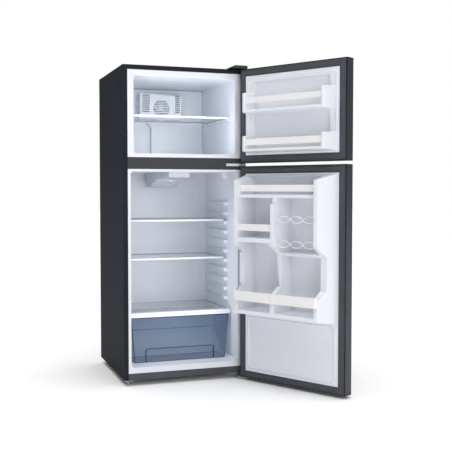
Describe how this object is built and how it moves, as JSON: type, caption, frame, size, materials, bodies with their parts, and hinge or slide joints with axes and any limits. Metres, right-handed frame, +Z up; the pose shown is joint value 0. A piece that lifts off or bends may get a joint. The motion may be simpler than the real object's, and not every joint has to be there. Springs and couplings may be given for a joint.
{
  "type": "top freezer refrigerator",
  "caption": "Top freezer refrigerator with both doors open, glass shelves, a crisper drawer, door racks, condenser coil and compressor.",
  "frame": {"origin": "on the floor, midway between the two front levelling legs", "axes": "+X to the right seen from the front, +Y from the doors to the back, +Z up"},
  "size_m": [0.9101, 1.1592, 1.513],
  "materials": {
    "cabinet_paint": "satin",
    "mullion_paint": "satin",
    "zinc": "satin",
    "galvanised": "satin",
    "door_steel": "brushed",
    "foam": "matte",
    "liner_plastic": "gloss",
    "trim_plastic": "satin",
    "bar_plastic": "satin",
    "black_plastic": "matte",
    "seal": "matte",
    "rubber": "matte",
    "shelf_glass": "clear",
    "drawer_plastic": "translucent",
    "lamp_lens": "frosted",
    "lamp_glass": "frosted",
    "black_enamel": "gloss",
    "copper": "satin",
    "coil_aluminium": "satin",
    "white_wire": "gloss",
    "grey_plastic": "matte"
  },
  "bodies": {
    "cabinet": {"cabinet_wrapper": "cabinet_paint", "rear_panel": "galvanised", "machine_deck": "galvanised", "base_rail": "cabinet_paint", "mullion_cover": "mullion_paint", "hole_plugs": "black_plastic", "cabinet_foam": "foam", "freezer_liner": "liner_plastic", "fridge_liner": "liner_plastic", "top_hinge": "zinc", "hinge_cover": "black_plastic", "middle_hinge": "zinc", "bottom_hinge": "zinc", "compressor": "black_enamel", "compressor_mounts": "rubber", "relay_cover": "black_plastic", "refrigerant_pipes": "copper", "condenser": "black_enamel", "evaporator": "coil_aluminium", "defrost_heater": "coil_aluminium", "fan_motor": "grey_plastic", "drain_pan": "black_plastic", "drain_tube": "trim_plastic", "freezer_duct_cover": "liner_plastic", "crisper_cover_glass": "shelf_glass", "crisper_cover_trim": "trim_plastic", "ceiling_housing": "trim_plastic", "lamp_cover": "lamp_lens", "lamp": "lamp_glass"},
    "freezer_door": {"freezer_door_skin": "door_steel", "freezer_door_liner": "liner_plastic", "freezer_door_foam": "foam", "freezer_door_seal": "seal", "freezer_door_top_cap": "black_plastic", "freezer_door_bottom_cap": "black_plastic", "freezer_door_bars": "bar_plastic"},
    "fridge_door": {"fridge_door_skin": "door_steel", "fridge_door_liner": "liner_plastic", "fridge_door_foam": "foam", "fridge_door_seal": "seal", "fridge_door_top_cap": "black_plastic", "fridge_door_bottom_cap": "black_plastic", "dairy_bar": "bar_plastic", "condiment_bar": "bar_plastic", "bottle_bar": "bar_plastic", "can_racks": "white_wire"},
    "left_leg": {"leg_left": "galvanised"},
    "right_leg": {"leg_right": "galvanised"},
    "left_roller": {"roller_left": "black_plastic"},
    "right_roller": {"roller_right": "black_plastic"},
    "fan": {"evaporator_fan": "trim_plastic"},
    "freezer_shelf": {"freezer_shelf_glass": "shelf_glass", "freezer_shelf_trim": "trim_plastic"},
    "upper_shelf": {"upper_shelf_glass": "shelf_glass", "upper_shelf_trim": "trim_plastic"},
    "lower_shelf": {"lower_shelf_glass": "shelf_glass", "lower_shelf_trim": "trim_plastic"},
    "crisper": {"crisper_drawer": "drawer_plastic"},
    "knob": {"temperature_knob": "trim_plastic"},
    "switch_button": {"door_switch_button": "trim_plastic"}
  },
  "joints": [
    {"name": "freezer_door_hinge", "type": "hinge", "parent": "cabinet", "child": "freezer_door", "pos_m": [0.289, -0.074, 1.271], "axis": [0, 0, 1], "range_deg": [-120, 15]},
    {"name": "fridge_door_hinge", "type": "hinge", "parent": "cabinet", "child": "fridge_door", "pos_m": [0.289, -0.074, 0.523], "axis": [0, 0, 1], "range_deg": [-120, 15]},
    {"name": "freezer_shelf_slide", "type": "slide", "parent": "cabinet", "child": "freezer_shelf", "axis": [0, -1, 0], "range_m": [0, 0.15]},
    {"name": "upper_shelf_slide", "type": "slide", "parent": "cabinet", "child": "upper_shelf", "axis": [0, -1, 0], "range_m": [0, 0.2]},
    {"name": "lower_shelf_slide", "type": "slide", "parent": "cabinet", "child": "lower_shelf", "axis": [0, -1, 0], "range_m": [0, 0.2]},
    {"name": "crisper_slide", "type": "slide", "parent": "cabinet", "child": "crisper", "axis": [0, -1, 0], "range_m": [0, 0.29]},
    {"name": "temperature_knob_turn", "type": "hinge", "parent": "cabinet", "child": "knob", "pos_m": [0, 0.228, 0.968], "axis": [0, 0, 1], "range_deg": [0, 270]},
    {"name": "door_switch_press", "type": "slide", "parent": "cabinet", "child": "switch_button", "axis": [0, -1, 0], "range_m": [-0.007, 0], "stiffness_N_per_m": 120, "springref_m": 0.002},
    {"name": "left_leg_turn", "type": "hinge", "parent": "cabinet", "child": "left_leg", "pos_m": [-0.272, 0, 0.008], "axis": [0, 0, 1], "continuous": true},
    {"name": "right_leg_turn", "type": "hinge", "parent": "cabinet", "child": "right_leg", "pos_m": [0.272, 0, 0.008], "axis": [0, 0, 1], "continuous": true},
    {"name": "left_roller_spin", "type": "hinge", "parent": "cabinet", "child": "left_roller", "pos_m": [-0.262, 0.495, 0.013], "axis": [1, 0, 0], "continuous": true},
    {"name": "right_roller_spin", "type": "hinge", "parent": "cabinet", "child": "right_roller", "pos_m": [0.262, 0.495, 0.013], "axis": [1, 0, 0], "continuous": true},
    {"name": "evaporator_fan_spin", "type": "hinge", "parent": "cabinet", "child": "fan", "pos_m": [0, 0.415, 1.346], "axis": [0, -1, 0], "continuous": true}
  ]
}
